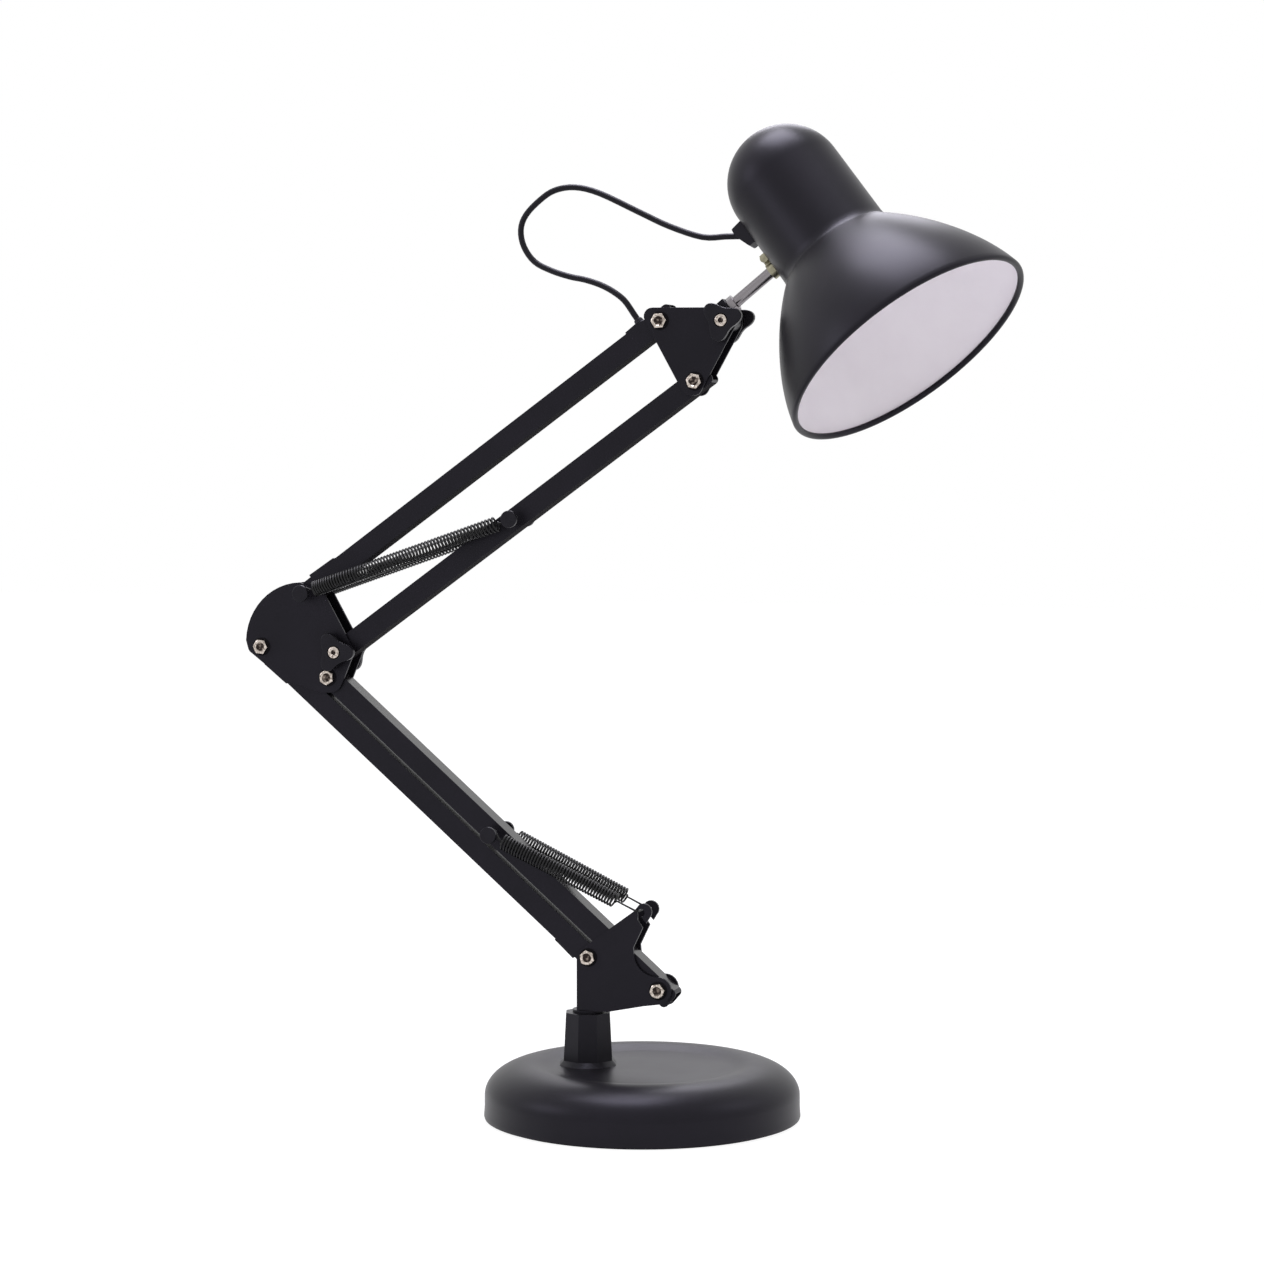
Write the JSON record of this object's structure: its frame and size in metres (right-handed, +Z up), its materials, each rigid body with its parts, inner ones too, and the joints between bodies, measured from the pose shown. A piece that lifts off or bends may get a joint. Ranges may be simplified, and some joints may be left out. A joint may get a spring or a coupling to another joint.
{
  "type": "desk lamp",
  "caption": "Desk lamp with a round weighted base, two sprung parallel-bar arms, clamp knobs and a tilting, turning bell shade on a rod.",
  "frame": {"origin": "centre of the base's underside, on the table", "axes": "+Z up, +X from the base toward the side that the head reaches to, in the plane of the arms"},
  "size_m": [0.4693, 0.2526, 0.5751],
  "materials": {
    "black_enamel": "satin powder coat, white enamel inside the shade",
    "weight_iron": "rough cast",
    "plate_steel": "matt paint",
    "foot_pad": "soft foam rubber",
    "black_plastic": "moulded, fine satin",
    "lead_pvc": "smooth flexible sheath",
    "bolt_steel": "zinc plated",
    "nickel": "bright nickel plate",
    "spring_wire": "black coated spring wire",
    "rod_chrome": "polished chrome",
    "block_steel": "satin black",
    "zinc_plate": "yellow passivated zinc",
    "thread_brass": "plain"
  },
  "bodies": {
    "base": {"base_shell": "black_enamel", "base_weight": "weight_iron", "base_plate": "plate_steel", "base_pad": "foot_pad", "base_screws": "bolt_steel", "collar": "black_plastic", "collar_bolt": "bolt_steel", "lead_exit": "black_plastic", "lead_tail": "lead_pvc", "lead_coil": "lead_pvc", "plug_body": "black_plastic", "plug_pins": "nickel"},
    "lower_bracket": {"lower_bracket": "black_enamel", "swivel_post": "bolt_steel", "lower_bolts": "bolt_steel", "lower_nuts": "nickel", "lower_springs": "spring_wire"},
    "lower_bar_rear": {"lower_bar_rear": "black_enamel", "lead_lower": "lead_pvc"},
    "lower_bar_front": {"lower_bar_front": "black_enamel", "lower_spring_pin": "bolt_steel", "lower_pin_caps": "black_plastic"},
    "elbow": {"elbow_plate_near": "black_enamel", "elbow_plate_far": "black_enamel", "elbow_bolts": "bolt_steel", "elbow_nuts": "nickel", "elbow_pin": "bolt_steel", "elbow_pin_caps": "black_plastic", "upper_springs": "spring_wire"},
    "elbow_knob": {"elbow_knob": "black_plastic", "elbow_knob_screw": "nickel"},
    "elbow_knob_far": {"elbow_knob_far": "black_plastic"},
    "upper_bar_rear": {"upper_bar_rear": "black_enamel", "lead_upper": "lead_pvc", "lead_bush": "black_plastic"},
    "upper_bar_front": {"upper_bar_front": "black_enamel", "upper_spring_pin": "bolt_steel", "upper_pin_caps": "black_plastic"},
    "head_bracket": {"head_plate_near": "black_enamel", "head_plate_far": "black_enamel", "head_bolts": "bolt_steel", "head_nuts": "nickel", "lead_loop": "lead_pvc"},
    "head_knob": {"head_knob": "black_plastic", "head_knob_screw": "nickel"},
    "head_knob_far": {"head_knob_far": "black_plastic"},
    "head_arm": {"head_block": "block_steel", "head_rod": "rod_chrome", "rod_nut": "rod_chrome"},
    "shade": {"shade": "black_enamel", "neck_clamp": "zinc_plate", "clamp_screw": "zinc_plate", "holder_strap": "zinc_plate", "lampholder": "black_plastic", "lamp_thread": "thread_brass", "strain_relief": "black_plastic"}
  },
  "joints": [
    {"name": "swivel", "type": "hinge", "parent": "base", "child": "lower_bracket", "pos_m": [-0.0334, 0, 0.055], "axis": [0, 0, 1], "range_deg": [-170, 170]},
    {"name": "lower_arm", "type": "hinge", "parent": "lower_bracket", "child": "lower_bar_rear", "pos_m": [-0.0307, 0, 0.0937], "axis": [0, 1, 0], "range_deg": [-2, 80], "deforming": ["lower_springs"]},
    {"name": "lower_bar_front_pivot", "type": "hinge", "parent": "lower_bracket", "child": "lower_bar_front", "pos_m": [0.0121, 0, 0.0761], "axis": [0, 1, 0], "range_deg": [-2, 80], "deforming": ["lower_springs"]},
    {"name": "elbow_level", "type": "hinge", "parent": "lower_bar_rear", "child": "elbow", "pos_m": [-0.23706, 0, 0.27182], "axis": [0, 1, 0], "range_deg": [-80, 2]},
    {"name": "upper_arm", "type": "hinge", "parent": "elbow", "child": "upper_bar_rear", "pos_m": [-0.20836, 0, 0.30432], "axis": [0, 1, 0], "range_deg": [-40, 50], "deforming": ["upper_springs", "lead_loop"]},
    {"name": "upper_bar_front_pivot", "type": "hinge", "parent": "elbow", "child": "upper_bar_front", "pos_m": [-0.18736, 0, 0.26962], "axis": [0, 1, 0], "range_deg": [-40, 50], "deforming": ["upper_springs"]},
    {"name": "head_level", "type": "hinge", "parent": "upper_bar_rear", "child": "head_bracket", "pos_m": [0.01274, 0, 0.46378], "axis": [0, 1, 0], "range_deg": [-50, 40], "deforming": ["lead_loop"]},
    {"name": "head_tilt", "type": "hinge", "parent": "head_bracket", "child": "head_arm", "pos_m": [0.05134, 0, 0.46338], "axis": [0, 1, 0], "range_deg": [-30, 40], "deforming": ["lead_loop"]},
    {"name": "shade_turn", "type": "hinge", "parent": "head_arm", "child": "shade", "pos_m": [0.07132, 0, 0.48638], "axis": [0.7771, 0, 0.6293], "range_deg": [-90, 90], "deforming": ["lead_loop"]},
    {"name": "elbow_knob_spin", "type": "hinge", "parent": "elbow", "child": "elbow_knob", "pos_m": [-0.18736, 0, 0.26962], "axis": [0, 1, 0], "continuous": true},
    {"name": "elbow_knob_far_spin", "type": "hinge", "parent": "elbow", "child": "elbow_knob_far", "pos_m": [-0.18736, 0, 0.26962], "axis": [0, 1, 0], "continuous": true},
    {"name": "head_knob_spin", "type": "hinge", "parent": "head_bracket", "child": "head_knob", "pos_m": [0.05134, 0, 0.46338], "axis": [0, 1, 0], "continuous": true},
    {"name": "head_knob_far_spin", "type": "hinge", "parent": "head_bracket", "child": "head_knob_far", "pos_m": [0.05134, 0, 0.46338], "axis": [0, 1, 0], "continuous": true}
  ],
  "couplings": [
    {"joint": "lower_bar_front_pivot", "follows": "lower_arm", "ratio": 1},
    {"joint": "elbow_level", "follows": "lower_arm", "ratio": -1},
    {"joint": "upper_bar_front_pivot", "follows": "upper_arm", "ratio": 1},
    {"joint": "head_level", "follows": "upper_arm", "ratio": -1}
  ]
}
